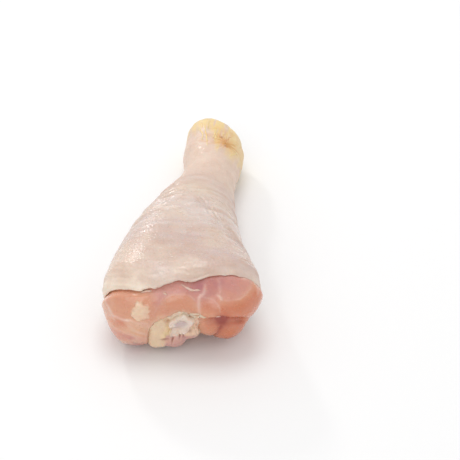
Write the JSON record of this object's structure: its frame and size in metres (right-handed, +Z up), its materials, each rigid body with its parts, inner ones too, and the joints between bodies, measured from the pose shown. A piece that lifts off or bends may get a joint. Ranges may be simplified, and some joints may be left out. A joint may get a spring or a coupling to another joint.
{
  "type": "raw chicken drumstick",
  "caption": "Raw chicken drumstick lying on its underside: a pale sleeve of skin over pink muscle lobes that show bare at the knee, with the shin bone running through to the hock.",
  "frame": {"origin": "on the surface that the drumstick lies on, under the middle of its outline", "axes": "+Y from the bare knee end to the hock, +Z up with the shown side up, +X to the right seen from the knee end"},
  "size_m": [0.0627, 0.1376, 0.0378],
  "materials": {
    "skin": "moist, dimpled raw poultry skin, pale pink-cream, yellow at the hock",
    "meat": "moist raw muscle, orange-pink, under thin clear membrane with white lines",
    "bone": "moist cartilage, cream to bluish white"
  },
  "bodies": {
    "root": {"skin": "skin", "meat": "meat", "bone": "bone"}
  },
  "joints": []
}
